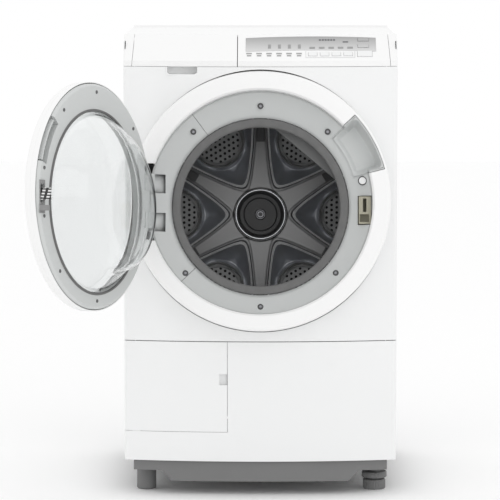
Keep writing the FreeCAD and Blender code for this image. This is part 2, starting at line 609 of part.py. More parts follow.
def make_drum():
    drop = -DRUM_DROP
    wall = ring(DRUM_R, DRUM_R - 1.5, (DRUM_FRONT, DRUM_BACK - 0.2), drop)
    lip = ring(DRUM_R - 1, 198.0, (DRUM_FRONT, DRUM_FRONT + 2), drop)
    save("drum_shell", tilted(wall.fuse(lip).removeSplitter()))
    back = ring(DRUM_R, SHAFT_R + 0.05, (DRUM_BACK, DRUM_BACK + 3), drop)
    cap = star_block(0, (STAR_FACE, DRUM_BACK + 1)).cut(star_block(-2.5, (STAR_FACE + 2.5, DRUM_BACK + 2)))
    cap = cap.cut(disc(60.0, (STAR_FACE - 5, DRUM_BACK - 20), drop))
    floor = ring(64.0, 14.0, (DRUM_BACK - 22, DRUM_BACK - 19), drop)
    wall = ring(64.0, 60.5, (STAR_FACE + 1, DRUM_BACK + 0.5), drop)
    back = back.cut(star_block(-2.5, (DRUM_BACK - 5, DRUM_BACK + 1)))
    save("drum_back", tilted(joined([back, cap, floor, wall])))
    save("balance_ring", tilted(ring(DRUM_R - 1.8, DRUM_R - 30, (DRUM_FRONT + 2.2, DRUM_FRONT + 40), drop)))
    tabs = []
    for i in range(6):
        tab = box((-9, 9), (STAR_FACE - 10, STAR_FACE - 0.2), (168, 214))
        tab.rotate(Vector(0, 0, 0), Y_AXIS, 60.0 * i)
        tab.translate(Vector(0, 0, drop))
        tabs.append(tab)
    save("arm_end_caps", tilted(group(tabs)))
    cup = turned([(0, 452), (36, 452), (38, 450), (HUB_R - 4, 450), (HUB_R - 3, 440), (HUB_R, 440),
                  (HUB_R + 2, 456), (58, 476), (30, 476), (30, 456), (0, 456)], drop)
    save("hub_cap", tilted(cup.cut(disc(6, (400, 500), drop))))
    chrome = Part.makeTorus(HUB_R + 3.2, 2.4, Vector(0, 441, drop), Y_AXIS)
    save("hub_ring", tilted(chrome.cut(disc(HUB_R + 0.3, (400, 500), drop))))
    bolt = disc(10.4, (444, 451.8), drop).fuse(disc(5.8, (451, DRUM_BACK - 17), drop))
    shaft = disc(SHAFT_R, (DRUM_BACK - 18.8, 604), drop).fuse(bolt)
    save("drum_shaft", tilted(shaft.removeSplitter()))

    tub = ring(TUB_R, TUB_R - 5, (TUB_FRONT, TUB_BACK), drop)
    tub = tub.fuse(ring(TUB_R, 205.0, (TUB_FRONT, TUB_FRONT + 5), drop)).removeSplitter()
    save("tub_shell", tilted(tub))
    rear = ring(TUB_R, 42.0, (TUB_BACK + 0.5, TUB_BACK + 7), drop).fuse(ring(52.0, 38.2, (530, 580), drop))
    save("tub_rear", tilted(rear.removeSplitter()))
    bearings = [ring(38.0, SHAFT_R + 0.05, d, drop) for d in ((532, 548), (562, 578))]
    save("tub_bearings", tilted(group(bearings)))
    stator = ring(112.0, 53.0, (TUB_BACK + 8, TUB_BACK + 34), drop)
    save("motor_stator", tilted(stator))
    cup = ring(124.0, 115.0, (TUB_BACK + 9, TUB_BACK + 42), drop)
    cup = cup.fuse(ring(124.0, 6.0, (TUB_BACK + 39, TUB_BACK + 42), drop))
    cup = cup.cut(disc(SHAFT_R, (500, 700), drop))
    save("motor_rotor", tilted(cup.removeSplitter()))
    weight = sector((206, 262), (30, 150), (TUB_FRONT + 5.4, DRUM_FRONT - 1))
    save("counterweight", tilted(moved(weight, Vector(0, 0, drop))))

    springs = []
    for x in (-190, 190):
        coil = Part.makeCylinder(13, 120, Vector(x, -20, 810))
        springs.append(coil.cut(Part.makeCylinder(10, 130, Vector(x, -20, 805))))
    struts = []
    for x in (-200, 200):
        body = Part.makeCylinder(16, 150, Vector(x, -20, PAN_BOTTOM + 4))
        rod = Part.makeCylinder(7, 180, Vector(x, -20, PAN_BOTTOM + 150))
        struts.append(body.fuse(rod).removeSplitter())
    save("suspension", group(springs + struts))


def moved(shape, by):
    shape = shape.copy()
    shape.translate(by)
    return shape


# --- fascia, keys and drawer -------------------------------------------------------------------------------

def key_places():
    """Name, x of both ends, s of both ends for each key that travels."""
    row = (KEY_ROW_S - 0.07, KEY_ROW_S + 0.07)
    places = []
    for i, name in enumerate(("wash", "rinse", "spin", "dry")):
        middle = 114.0 + 25.8 * i
        places.append((f"{name}_key", (middle - 9.5, middle + 9.5), row))
    places.append(("start_key", (212.0, 244.0), (KEY_ROW_S - 0.10, KEY_ROW_S + 0.10)))
    for name, s in (("power_on_key", 0.80), ("power_off_key", 0.56)):
        places.append((name, (213.0, 237.0), (s - 0.06, s + 0.06)))
    return places


def make_fascia():
    body = fascia_block(0.0, -285).cut(fascia_block(3.0, -270))
    body = body.common(fascia_window(FASCIA_X, (0, EDGE_LEAN)))
    reach = (-14, 20)
    window = fascia_block(-1.0, -285).cut(fascia_block(1.4, -270))
    window = window.common(slope_plate(WINDOW_X, WINDOW_S, reach))
    inner_x, inner_s = (WINDOW_X[0] + 0.4, WINDOW_X[1] - 0.4), (WINDOW_S[0] + 0.006, WINDOW_S[1] - 0.006)
    plate = fascia_block(-0.2, -285).cut(fascia_block(1.2, -270))
    plate = plate.common(slope_plate(inner_x, inner_s, reach))
    pits = []
    for name, x, s in key_places():
        pits.append(slope_plate((x[0] - 0.5, x[1] + 0.5), (s[0] - 0.008, s[1] + 0.008), (-6, 20)))
        key = slope_plate(x, s, (-3.4, 1.3))
        save(name, key)
    cut_all = group(pits)
    save("control_fascia", max(body.cut(window).cut(cut_all).Solids, key=lambda s: s.Volume))
    save("display_window", plate.cut(cut_all))


def make_drawer():
    front = fascia_block(0.0, -285).cut(fascia_block(3.0, -270))
    front = front.common(fascia_window(DRAWER_X, (EDGE_LEAN, 0)))
    save("drawer_front", max(front.Solids, key=lambda s: s.Volume))
    x, y, z = (-268.0, -62.0), (-254.0, -40.0), (950.0, 992.0)
    tray = box(x, y, z).cut(box((x[0] + 2.5, -150), (y[0] + 2.5, y[1] - 2.5), (z[0] + 2.5, 1100)))
    tray = tray.cut(box((-147.5, x[1] - 2.5), (y[0] + 2.5, y[1] - 2.5), (z[0] + 2.5, 1100)))
    bracket = front_block((952, 957), 3.3, y[0] + 1).common(box((-240, -90), (-400, 0), (900, 1000)))
    save("drawer_tray", tray.fuse(bracket).removeSplitter())
    house = box((-273, -57), (-245, -30), (946, 996)).cut(box((-269.5, -60.5), (-400, -34), (948.5, 1100)))
    save("drawer_housing", house)


# --- water, waste and lower-left door ----------------------------------------------------------------------

def make_services():
    x, z = REAR_HOLES[0][:2]
    valve = box((x - 24, x + 24), (250, 288), (z - 20, z + 20))
    valve = valve.fuse(disc(13.2, (287, 318), z, x)).cut(disc(9.0, (295, 330), z, x))
    save("water_inlet_valve", valve.removeSplitter())
    x, z = REAR_HOLES[1][:2]
    pipe = ring(15.0, 12.0, (240, 326), 0).fuse(ring(24.0, 14.0, (240, 290), 0)).removeSplitter()
    save("drain_outlet", moved(pipe, Vector(x, 0, z)))

    x, z = FILTER_AXIS.x, FILTER_AXIS.z
    body = disc(38.0, (-284, -150), z, x).fuse(disc(30.0, (-151, -90), z, x))
    wall = box((-292, FILTER_X - 4), (-284, -281.5), (FILTER_Z + 4, SEAM_Z - 6))
    body = body.fuse(wall).cut(disc(28.5, (-300, -160), z, x))
    save("drain_pump", body.removeSplitter())
    cap = disc(32.0, (-298, -284.6), z, x).fuse(disc(25.0, (-285, -180), z, x))
    grip = box((x - 28, x + 28), (-302.5, -297), (z - 5, z + 5))
    save("drain_filter", cap.fuse(grip).removeSplitter())

    door = front_shell((FILTER_Z, SEAM_Z - GAP))
    door = door.common(filter_opening(0))
    notch_y = bow_y(FILTER_X)
    notch = box((FILTER_X - 17, FILTER_X + 1), (notch_y - 5, notch_y + 8), NOTCH_Z)
    cup = box((FILTER_X - 19, FILTER_X), (notch_y + 0.5, notch_y + 10), (NOTCH_Z[0] - 2, NOTCH_Z[1] + 2))
    low = Vector(FILTER_HINGE.x, FILTER_HINGE.y, FILTER_Z + 10)
    barrel = Part.makeCylinder(2.2, SEAM_Z - FILTER_Z - 20, low)
    save("filter_door", door.fuse([cup, barrel]).cut(notch).removeSplitter())


def main():
    os.makedirs("parts", exist_ok=True)
    make_cabinet()
    make_base()
    make_collar()
    make_bezel()
    make_gasket()
    make_hinge()
    make_door()
    make_drum()
    make_fascia()
    make_drawer()
    make_services()


main()
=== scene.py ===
# %% [markdown]
# # A front load washing machine
# The cabinet, door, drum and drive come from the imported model. This lesson gives them
# their finishes, and replaces the pieces whose curves deserve a finer surface: the pressed
# star of the drum, the rubber gasket, the glass bowl of the door and the turned rings.

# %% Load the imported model
import json
import math

import bmesh
import bpy
import numpy as np
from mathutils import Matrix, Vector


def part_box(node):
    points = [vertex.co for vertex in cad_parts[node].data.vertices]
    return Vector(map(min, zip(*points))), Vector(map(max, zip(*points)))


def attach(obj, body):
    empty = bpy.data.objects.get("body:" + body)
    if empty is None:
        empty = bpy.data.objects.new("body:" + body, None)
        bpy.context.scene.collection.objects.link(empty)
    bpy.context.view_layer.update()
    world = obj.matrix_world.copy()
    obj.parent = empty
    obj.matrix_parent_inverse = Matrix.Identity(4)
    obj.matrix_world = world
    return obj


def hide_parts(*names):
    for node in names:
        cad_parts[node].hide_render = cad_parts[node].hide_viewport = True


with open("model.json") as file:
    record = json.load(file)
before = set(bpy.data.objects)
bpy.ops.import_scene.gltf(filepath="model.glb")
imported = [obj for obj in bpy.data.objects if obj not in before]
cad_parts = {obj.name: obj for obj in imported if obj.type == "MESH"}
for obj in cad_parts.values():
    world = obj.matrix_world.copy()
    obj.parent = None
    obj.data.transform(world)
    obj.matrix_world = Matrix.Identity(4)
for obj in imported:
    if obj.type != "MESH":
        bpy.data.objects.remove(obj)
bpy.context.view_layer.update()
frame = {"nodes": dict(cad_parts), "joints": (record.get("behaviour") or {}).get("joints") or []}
joints = {joint["name"]: joint for joint in frame["joints"]}

# %% [markdown]
# ## Camera
# The machine is seen from well back, a little above its top, so the front has almost no
# perspective. A long lens at that distance does it, pitched down a few degrees. The floor
# is plain and pale, and a white world with two large soft lights gives even studio light.

# %% Camera, floor and lights
scene = bpy.context.scene
scene.view_settings.view_transform = "Standard"

LENS_MM, SENSOR_MM = 240.6, 36.0
CAMERA_BACK, CAMERA_HEIGHT = 7.596, 1.3144
PITCH_DOWN, YAW = math.radians(6.04), math.radians(0.18)
camera = bpy.data.objects.new("camera", bpy.data.cameras.new("camera"))
camera.data.lens, camera.data.sensor_width = LENS_MM, SENSOR_MM
camera.data.clip_end = 60
camera.location = (0.0, -CAMERA_BACK, CAMERA_HEIGHT)
camera.rotation_euler = (math.pi / 2 - PITCH_DOWN, 0, YAW)
scene.collection.objects.link(camera)
scene.camera = camera

world = bpy.data.worlds.new("white_studio")
world.use_nodes = True
world.node_tree.nodes["Background"].inputs["Color"].default_value = (1, 1, 1, 1)
world.node_tree.nodes["Background"].inputs["Strength"].default_value = 1.0
scene.world = world


def soft_light(name, place, turn, size, power):
    """A rectangular lamp `size` metres wide and high, turned by Euler angles in degrees."""
    lamp = bpy.data.lights.new(name, "AREA")
    lamp.shape, lamp.size, lamp.size_y, lamp.energy = "RECTANGLE", size[0], size[1], power
    holder = bpy.data.objects.new(name, lamp)
    holder.location, holder.rotation_euler = place, [math.radians(a) for a in turn]
    scene.collection.objects.link(holder)


soft_light("front_light", (0.9, -4.2, 2.6), (62, 0, 12), (2.4, 2.4), 10)
soft_light("top_light", (-0.6, -1.2, 3.4), (14, 0, 0), (2.6, 2.0), 3)

# %% [markdown]
# ## Arithmetic on shader sockets
# A pattern is easier to read as a sum than as a web of nodes. The class below wraps one
# socket, and each sign used on it adds the Math node of that name.


# %% A socket that can be used in sums
class Signal:
    def __init__(self, tree, socket):
        self.tree, self.socket = tree, socket

    def math(self, operation, *others, swap=False):
        node = self.tree.nodes.new("ShaderNodeMath")
        node.operation = operation
        values = (others + (self,)) if swap else ((self,) + others)
        for socket, value in zip(node.inputs, values):
            plug(self.tree, socket, value)
        return Signal(self.tree, node.outputs[0])

    def __add__(self, other):
        return self.math("ADD", other)

    def __sub__(self, other):
        return self.math("SUBTRACT", other)

    def __rsub__(self, other):
        return self.math("SUBTRACT", other, swap=True)

    def __mul__(self, other):
        return self.math("MULTIPLY", other)

    def __truediv__(self, other):
        return self.math("DIVIDE", other)

    def __lt__(self, other):
        return self.math("LESS_THAN", other)

    def __gt__(self, other):
        return self.math("GREATER_THAN", other)

    __radd__, __rmul__ = __add__, __mul__


def plug(tree, socket, value):
    """Link a Signal into a socket, or set the socket to a plain number or colour."""
    if isinstance(value, Signal):
        tree.links.new(value.socket, socket)
    else:
        socket.default_value = value


# %% [markdown]
# ## Finishes
# Every finish is one Principled shader. Values that are the same all over are set on the
# shader's own sockets. What changes over the surface is worked out from Object coordinates,
# so it stays on the metal when a door or a drum turns.


# %% A finish and its one way of adding nodes
class Finish:
    def __init__(self, name, color, roughness, **constants):
        self.material = bpy.data.materials.new(name)
        self.material.use_nodes = True
        self.tree = self.material.node_tree
        self.shader = self.tree.nodes["Principled BSDF"]
        self.set("Base Color", (*color, 1.0))
        self.set("Roughness", roughness)
        for socket, value in constants.items():
            self.set(socket.replace("_", " "), value)

    def set(self, socket, value):
        plug(self.tree, self.shader.inputs[socket], value)

    def node(self, kind, settings=None, output=0, **values):
        """Add a node, set it up, fill its sockets (spaces written as _), return one output."""
        made = self.tree.nodes.new("ShaderNode" + kind)
        for key, value in (settings or {}).items():
            setattr(made, key, value)
        for socket, value in values.items():
            plug(self.tree, made.inputs[socket.replace("_", " ")], value)
        return Signal(self.tree, made.outputs[output])

    def place(self, at=(0, 0, 0), turn=(0, 0, 0)):
        """Object coordinates, in metres, seen from a point and axes of the piece itself."""
        spot = self.node("TexCoord", output=3)
        return self.node("Mapping", {"vector_type": "TEXTURE"}, Vector=spot, Location=at, Rotation=turn)

    def noise(self, size, detail=3.0, vector=None):
        """Smooth noise from 0 to 1 whose lumps are `size` metres across."""
        return self.node("TexNoise", Vector=vector or self.place(), Scale=1 / size, Detail=detail)

    def mix(self, share, first, second):
        """A colour that goes from first to second as share goes from 0 to 1."""
        made = self.tree.nodes.new("ShaderNodeMix")
        made.data_type = "RGBA"
        plug(self.tree, made.inputs[0], share)
        for socket, value in ((made.inputs[6], first), (made.inputs[7], second)):
            plug(self.tree, socket, value if isinstance(value, Signal) else (*value, 1.0))
        return Signal(self.tree, made.outputs[2])

    def bump(self, height, distance, strength=1.0):
        """Let a height from 0 to 1 tilt the surface as if it stood `distance` metres high."""
        self.set("Normal", self.node("Bump", Height=height, Distance=distance, Strength=strength))


def grained(name, color, roughness, grain=0.0009, depth=0.00002, vary=0.05, **constants):
    """Moulded plastic or sprayed paint: fine grain, slightly uneven gloss and a faint tone drift."""
    finish = Finish(name, color, roughness, **constants)
    drift, fine = finish.noise(0.11, 2.0), finish.noise(grain, 2.0)
    shade = tuple(c * (1 - vary) for c in color)
    finish.set("Base Color", finish.mix(drift, shade, color))
    finish.set("Roughness", roughness + (finish.noise(0.03) - 0.5) * 0.10)
    finish.bump(fine, depth)
    return finish.material


# %% Painted steel and moulded plastics
clear_coat = {"Coat_Weight": 0.15, "Coat_Roughness": 0.2}
finishes = {
    "white_panel": grained("white_enamel", (0.865, 0.87, 0.87), 0.36, 0.0022, 0.000004, 0.006, **clear_coat),
    "white_plastic": grained("white_gloss_plastic", (0.89, 0.89, 0.888), 0.32, 0.0012, 0.000003, 0.006,
                             **clear_coat),
    "base_grey_plastic": grained("skirt_grey_plastic", (0.19, 0.19, 0.19), 0.55, 0.0008, 0.00003, 0.10),
    "bezel_grey_plastic": grained("bezel_grey_plastic", (0.60, 0.615, 0.61), 0.42, 0.0009, 0.000015, 0.03),
    "latch_beige_plastic": grained("latch_beige_plastic", (0.42, 0.40, 0.31), 0.45, vary=0.06),
    "dark_plastic": grained("black_plastic", (0.062, 0.062, 0.063), 0.42, vary=0.15),
    "duct_plastic": grained("duct_grey_plastic", (0.13, 0.132, 0.132), 0.5, vary=0.1),
    "key_plastic": grained("key_plastic", (0.84, 0.845, 0.845), 0.3, 0.0008, 0.000008, 0.01),
    "motor_steel": grained("cast_motor_metal", (0.16, 0.16, 0.165), 0.5, 0.002, 0.0002, 0.2, Metallic=0.7),
}
print("moulded finishes", len(finishes))


# %% [markdown]
# Rubber is nearly black under a pale bloom, so its noise is coarser and its gloss lower.
# Zinc-coated sheet shows crystals: a Voronoi cell pattern tints them and varies their gloss.
# Turned and brushed metal has scratches that follow the tool, so its noise is stretched.


# %% Rubber and metals
def make_rubber():
    rubber = Finish("gasket_rubber", (0.15, 0.15, 0.15), 0.6, Specular_IOR_Level=0.35)
    bloom = rubber.noise(0.02, 5.0)
    rubber.set("Base Color", rubber.mix(bloom, (0.125, 0.125, 0.125), (0.185, 0.185, 0.183)))
    rubber.set("Roughness", 0.5 + bloom * 0.25)
    rubber.bump(rubber.noise(0.0012, 2.0), 0.00006)
    return rubber.material


def make_zinc():
    zinc = Finish("zinc_sheet", (0.6, 0.61, 0.62), 0.4, Metallic=1.0)
    cells = zinc.node("TexVoronoi", {"feature": "F1"}, output=1, Vector=zinc.place(), Scale=70.0)
    tone = zinc.node("SeparateColor", Color=cells)
    zinc.set("Base Color", zinc.mix(tone, (0.5, 0.51, 0.52), (0.66, 0.67, 0.68)))
    zinc.set("Roughness", 0.3 + tone * 0.22)
    zinc.bump(zinc.noise(0.004), 0.00003)
    return zinc.material


def make_brushed(name, color, roughness, squeeze):
    """Metal with drawn lines: squeeze is how much finer the noise is along X, Y and Z."""
    metal = Finish(name, color, roughness, Metallic=1.0)
    lines = metal.node("VectorMath", {"operation": "MULTIPLY"})
    lines.socket.node.inputs[1].default_value = squeeze
    plug(metal.tree, lines.socket.node.inputs[0], metal.place())
    streaks = metal.node("TexNoise", Vector=lines, Scale=1.0, Detail=4.0)
    metal.set("Base Color", metal.mix(streaks, tuple(0.8 * c for c in color), color))
    metal.set("Roughness", roughness + (streaks - 0.5) * 0.16)
    metal.bump(streaks, 0.00001)
    return metal.material


finishes["gasket_rubber"] = make_rubber()
finishes["galvanised_steel"] = make_zinc()
finishes["screw_steel"] = make_brushed("screw_steel", (0.36, 0.36, 0.38), 0.32, (900, 900, 200))
finishes["chrome_trim"] = make_brushed("chrome_trim", (0.72, 0.73, 0.75), 0.09, (400, 400, 400))
finishes["drum_steel"] = make_brushed("drum_steel", (0.33, 0.34, 0.35), 0.3, (60, 700, 700))


# %% [markdown]
# Clear glass lets the light pass and bends it a little. The display window is smoked plastic,
# darker towards its upper edge. The latch tongue is white with dark slots across it.


# %% Glass, display window and latch
LATCH_BAR_PITCH, LATCH_BAR_SHARE = 0.0062, 0.45     # dark bars on the latch tongue


def make_glass():
    glass = Finish("clear_glass", (0.97, 0.98, 0.98), 0.02, IOR=1.45, Transmission_Weight=1.0)
    glass.set("Roughness", 0.015 + glass.noise(0.05) * 0.02)
    return glass.material


def make_display():
    low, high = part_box("display_window")
    window = Finish("display_window", (0.4, 0.4, 0.4), 0.16, Coat_Weight=0.6, Coat_Roughness=0.05)
    height = window.node("SeparateXYZ", output=2, Vector=window.place())
    share = (height - low.z) / (high.z - low.z)
    window.set("Base Color", window.mix(share, (0.66, 0.66, 0.66), (0.34, 0.34, 0.34)))
    window.set("Roughness", 0.12 + window.noise(0.02) * 0.08)
    return window.material


def make_latch_grid():
    """White tongue crossed by dark bars."""
    tongue = Finish("latch_tongue", (0.8, 0.8, 0.8), 0.4)
    spot = tongue.place()
    deep, high = (
        (tongue.node("SeparateXYZ", output=k, Vector=spot) / LATCH_BAR_PITCH).math("FRACT") < LATCH_BAR_SHARE
        for k in (1, 2)
    )
    dark = deep + high - deep * high
    tongue.set("Base Color", tongue.mix(dark, (0.8, 0.8, 0.8), (0.02, 0.02, 0.02)))
    tongue.bump(1.0 - dark, 0.0004)
    return tongue.material


finishes["clear_glass"] = make_glass()
finishes["display_glass"] = make_display()
own_finish = {
    "latch_hook": make_latch_grid(),
    "latch_plate": grained("latch_grey_plastic", (0.26, 0.26, 0.26), 0.45),
}

# %% Give every CAD node its own finish, or that of the slot whose name it came with
for name, node in frame["nodes"].items():
    slot = node.data.materials[0].name.split(".")[0]
    node.data.materials.clear()
    node.data.materials.append(own_finish.get(name) or finishes[slot])

# %% [markdown]
# ## The leaning frames
# The loading opening leans back by a few degrees, and the drum, collar and door lean with it.
# Their pieces are drawn in a plain frame, (across, depth, up), and then laid into the machine.
# The drum's joint gives the depth axis, and the door's hinge gives the upward one, so both
# come from the model. The door is drawn shut and swung open to where the model shows it.

# %% From drawing frames to the machine
depth_axis = np.array(joints["drum_spin"]["axis"])
up_axis = np.array(joints["door_swing"]["axis"])
drum_point = np.array(joints["drum_spin"]["pos_m"])
hinge_point = np.array(joints["door_swing"]["pos_m"])
DRUM_DROP = 0.0072                                  # the drum sits this much below the door
DRUM_JOINT_DEPTH = 0.300                            # from the loading opening to the drum's joint
mouth = drum_point - DRUM_JOINT_DEPTH * depth_axis + DRUM_DROP * up_axis
door_swing = math.radians(joints["door_swing"]["range_deg"][1])
lean = math.atan2(-depth_axis[2], depth_axis[1])


def in_mouth(points):
    """Points (across, depth, up) measured from the middle of the loading opening."""
    p = np.asarray(points, float)
    side = np.array([1.0, 0.0, 0.0])
    return mouth + p[..., :1] * side + p[..., 1:2] * depth_axis + p[..., 2:] * up_axis


def in_drum(points):
    """The same, but with the height measured from the drum's own axis."""
    return in_mouth(np.asarray(points, float) - (0, 0, DRUM_DROP))


def in_door(points):
    """Points drawn on the shut door, turned about the hinge by the angle the door stands open."""
    p = np.array(points, float)
    hinge = (hinge_point[0], float((hinge_point - mouth) @ depth_axis))
    x, y = p[..., 0] - hinge[0], p[..., 1] - hinge[1]
    c, s = math.cos(-door_swing), math.sin(-door_swing)
    p[..., 0], p[..., 1] = hinge[0] + c * x - s * y, hinge[1] + s * x + c * y
    return in_mouth(p)


print("lean", round(math.degrees(lean), 2), "mouth", mouth.round(4))

# %% [markdown]
# ## Skins over grids
# A piece is a table of points, rows by columns, and its faces join neighbours in the table.
# Where the last column meets the first, or a row shrinks to a point, the doubled points are
# merged, and the normals are worked out again so that they all face outwards.


# %% Points to a finished piece
def add_piece(name, mesh, finish, body):
    """Put a mesh into the scene as a piece that rides on a body."""
    piece = bpy.data.objects.new(name, mesh)
    scene.collection.objects.link(piece)
    mesh.materials.append(finish)
    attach(piece, body)
    return piece


def skin(name, points, finish, body, replaced=(), wrap=(False, True), sharp=40, thick=0.0):
    """Quads between neighbours of points[row, column]; wrap joins the last row or column to the first."""
    rows, cols = points.shape[:2]
    i = np.arange(rows if wrap[0] else rows - 1)[:, None]
    j = np.arange(cols if wrap[1] else cols - 1)[None, :]
    below, right = (i + 1) % rows, (j + 1) % cols
    quads = np.stack([i * cols + j, i * cols + right, below * cols + right, below * cols + j], -1)
    mesh = bpy.data.meshes.new(name)
    mesh.from_pydata(points.reshape(-1, 3).tolist(), [], quads.reshape(-1, 4).tolist())
    work = bmesh.new()
    work.from_mesh(mesh)
    bmesh.ops.remove_doubles(work, verts=work.verts, dist=1e-6)
    bmesh.ops.recalc_face_normals(work, faces=work.faces)
    for face in work.faces:
        face.smooth = True
    for edge in work.edges:
        if len(edge.link_faces) == 2 and edge.calc_face_angle(0) > math.radians(sharp):
            edge.smooth = False
    work.to_mesh(mesh)
    work.free()
    piece = add_piece(name, mesh, finish, body)
    if thick:
        wall = piece.modifiers.new("wall", "SOLIDIFY")
        wall.thickness, wall.offset = thick, -1.0
    if replaced:
        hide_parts(*replaced)
    print(name, "faces", len(mesh.polygons))
    return piece


def softened(corners, cut=0.002, steps=4):
    """A closed outline with each corner rounded by a parabola that starts and ends `cut` from it."""
    here = np.asarray(corners, float)
    arms = [np.roll(here, 1, 0) - here, np.roll(here, -1, 0) - here]
    ends = []
    for arm in arms:
        length = np.linalg.norm(arm, axis=1, keepdims=True)
        ends.append(here + arm / length * np.minimum(cut, length * 0.45))
    t = np.linspace(0, 1, steps + 1)[None, :, None]
    curve = (1 - t) ** 2 * ends[0][:, None] + 2 * t * (1 - t) * here[:, None] + t ** 2 * ends[1][:, None]
    return curve.reshape(-1, 2)


def turned(outline, columns=128, centre=(0.0, 0.0)):
    """A turned shape: each (radius, depth) of the outline is carried round the depth axis."""
    radius, depth = np.asarray(outline, float).T
    angle = np.linspace(0, 2 * np.pi, columns, endpoint=False)
    across = centre[0] + radius[:, None] * np.cos(angle)
    up = centre[1] + radius[:, None] * np.sin(angle)
    return np.stack([across, np.broadcast_to(depth[:, None], across.shape), up], -1)


def eased(share):
    """0 below 0, 1 above 1, and a smooth S between them."""
    s = np.clip(share, 0, 1)
    return s * s * (3 - 2 * s)


# %% [markdown]
# ## Rubber gasket
# The gasket is a moulded ring between the bezel and the tub: a flat front lip, a rounded
# mouth and a fold behind it that lets the tub shake. All of it is one turned outline.

# %% Gasket
gasket_outline = np.array([
    (193.2, 64.2), (189, 63.9), (181, 65.6), (176.5, 67.4), (174.3, 70.5), (174.6, 74), (178, 76.4),
    (177.4, 83), (177.2, 91.5), (174.8, 95.5), (177, 99), (184, 99.4), (187, 96), (187.5, 82),
    (190.5, 77.2), (193.2, 74),
]) / 1000
skin("door_gasket_moulding", in_drum(turned(softened(gasket_outline, 0.003), 160)), finishes["gasket_rubber"],
     "cabinet", ("door_gasket",), wrap=(True, True), sharp=60)

# %% [markdown]
# ## The pressed star of the drum
# The back of the drum is one sheet of steel pressed into six arms. Its depth is a function of
# the place on the disc. Each valley is a wedge with a rounded tip: its sides fall steeply from
# the rolled edges of the arms, and a ramp runs down the middle from the hub. A round perforated
# plate, with a raised bead about it, fills the outer end of each valley. Because the six valleys
# are alike, every point is first turned into the nearest one.

# %% Depth of the pressed star
STAR_TOP, STAR_LOW, PLATE_DEPTH = 0.455, 0.4965, 0.4785
STAR_R, STAR_HOLE_R, STAR_BACK = 0.2475, 0.058, 0.5025   # outer edge, hole for the hub, flat back
PLATE_AT, PLATE_R = 0.196, 0.061                         # perforated plate: middle and radius
WEDGE, WEDGE_TIP, TIP_ROUND = math.radians(36), 0.0481, 0.0145
ARM_HALF = 0.0115                                        # half the width of an arm
FLANK_FALL, RAMP_FALL, RAMP_FROM = 1.55, 0.95, 0.069     # slopes of a valley's sides and ramp
SECTOR = math.pi / 3


def ridge(place, middle, width, height):
    """A rounded ridge that stands `height` above the sheet along a line."""
    return height * np.exp(-((place - middle) / width) ** 2)


def softer_min(a, b, width):
    """The smaller of two values, with the crease between them rounded over `width`."""
    return (a + b - np.sqrt((a - b) ** 2 + width ** 2)) / 2


def star_depth(radius, angle):
    """Depth of the pressed sheet in metres, as a function of the polar place on the drum's back."""
    turn = (angle + SECTOR / 2) % SECTOR - SECTOR / 2
    along, across = radius * np.cos(turn), radius * np.sin(turn)
    away = np.sqrt(across ** 2 + TIP_ROUND ** 2)
    flank = (along - WEDGE_TIP) * math.sin(WEDGE) - away * math.cos(WEDGE)
    arm = along * 0.5 - np.abs(across) * 0.866 - ARM_HALF
    inside = softer_min(flank, arm, 0.006)
    rolled = np.where(inside > 0, inside ** 2 / (inside + 0.004), 0)
    ramp_fall = np.maximum(along - RAMP_FROM, 0) * RAMP_FALL
    fall = softer_min(softer_min(FLANK_FALL * rolled, ramp_fall, 0.002), STAR_LOW - STAR_TOP, 0.004)
    depth = STAR_TOP + np.maximum(fall, 0) - ridge(inside, -0.0005, 0.0028, 0.0016)
    in_valley = inside > 0.002
    plate = PLATE_R - np.hypot(along - PLATE_AT, across)
    covered = eased((plate + 0.006) / 0.008) * in_valley
    depth = depth * (1 - covered) + PLATE_DEPTH * covered
    bead = ridge(plate, 0.0015, 0.0026, 0.0042) + ridge(plate, 0.0085, 0.0016, 0.0022)
    groove = ridge(plate, 0.0055, 0.0015, 0.0030)
    depth = depth - (bead - groove) * in_valley
    return depth + 0.0015 * eased((0.064 - radius) / 0.006)


# %% Finish of the pressed star: satin arms, polished valleys brightened as a painted reflection, a painted highlight on the rolled edges, round holes
HOLE_PITCH, HOLE_R, FIRST_HOLES = 0.0118, 0.0031, 0.153
PLATE_MARGIN = 0.0125                                    # plain edge of a plate, without holes


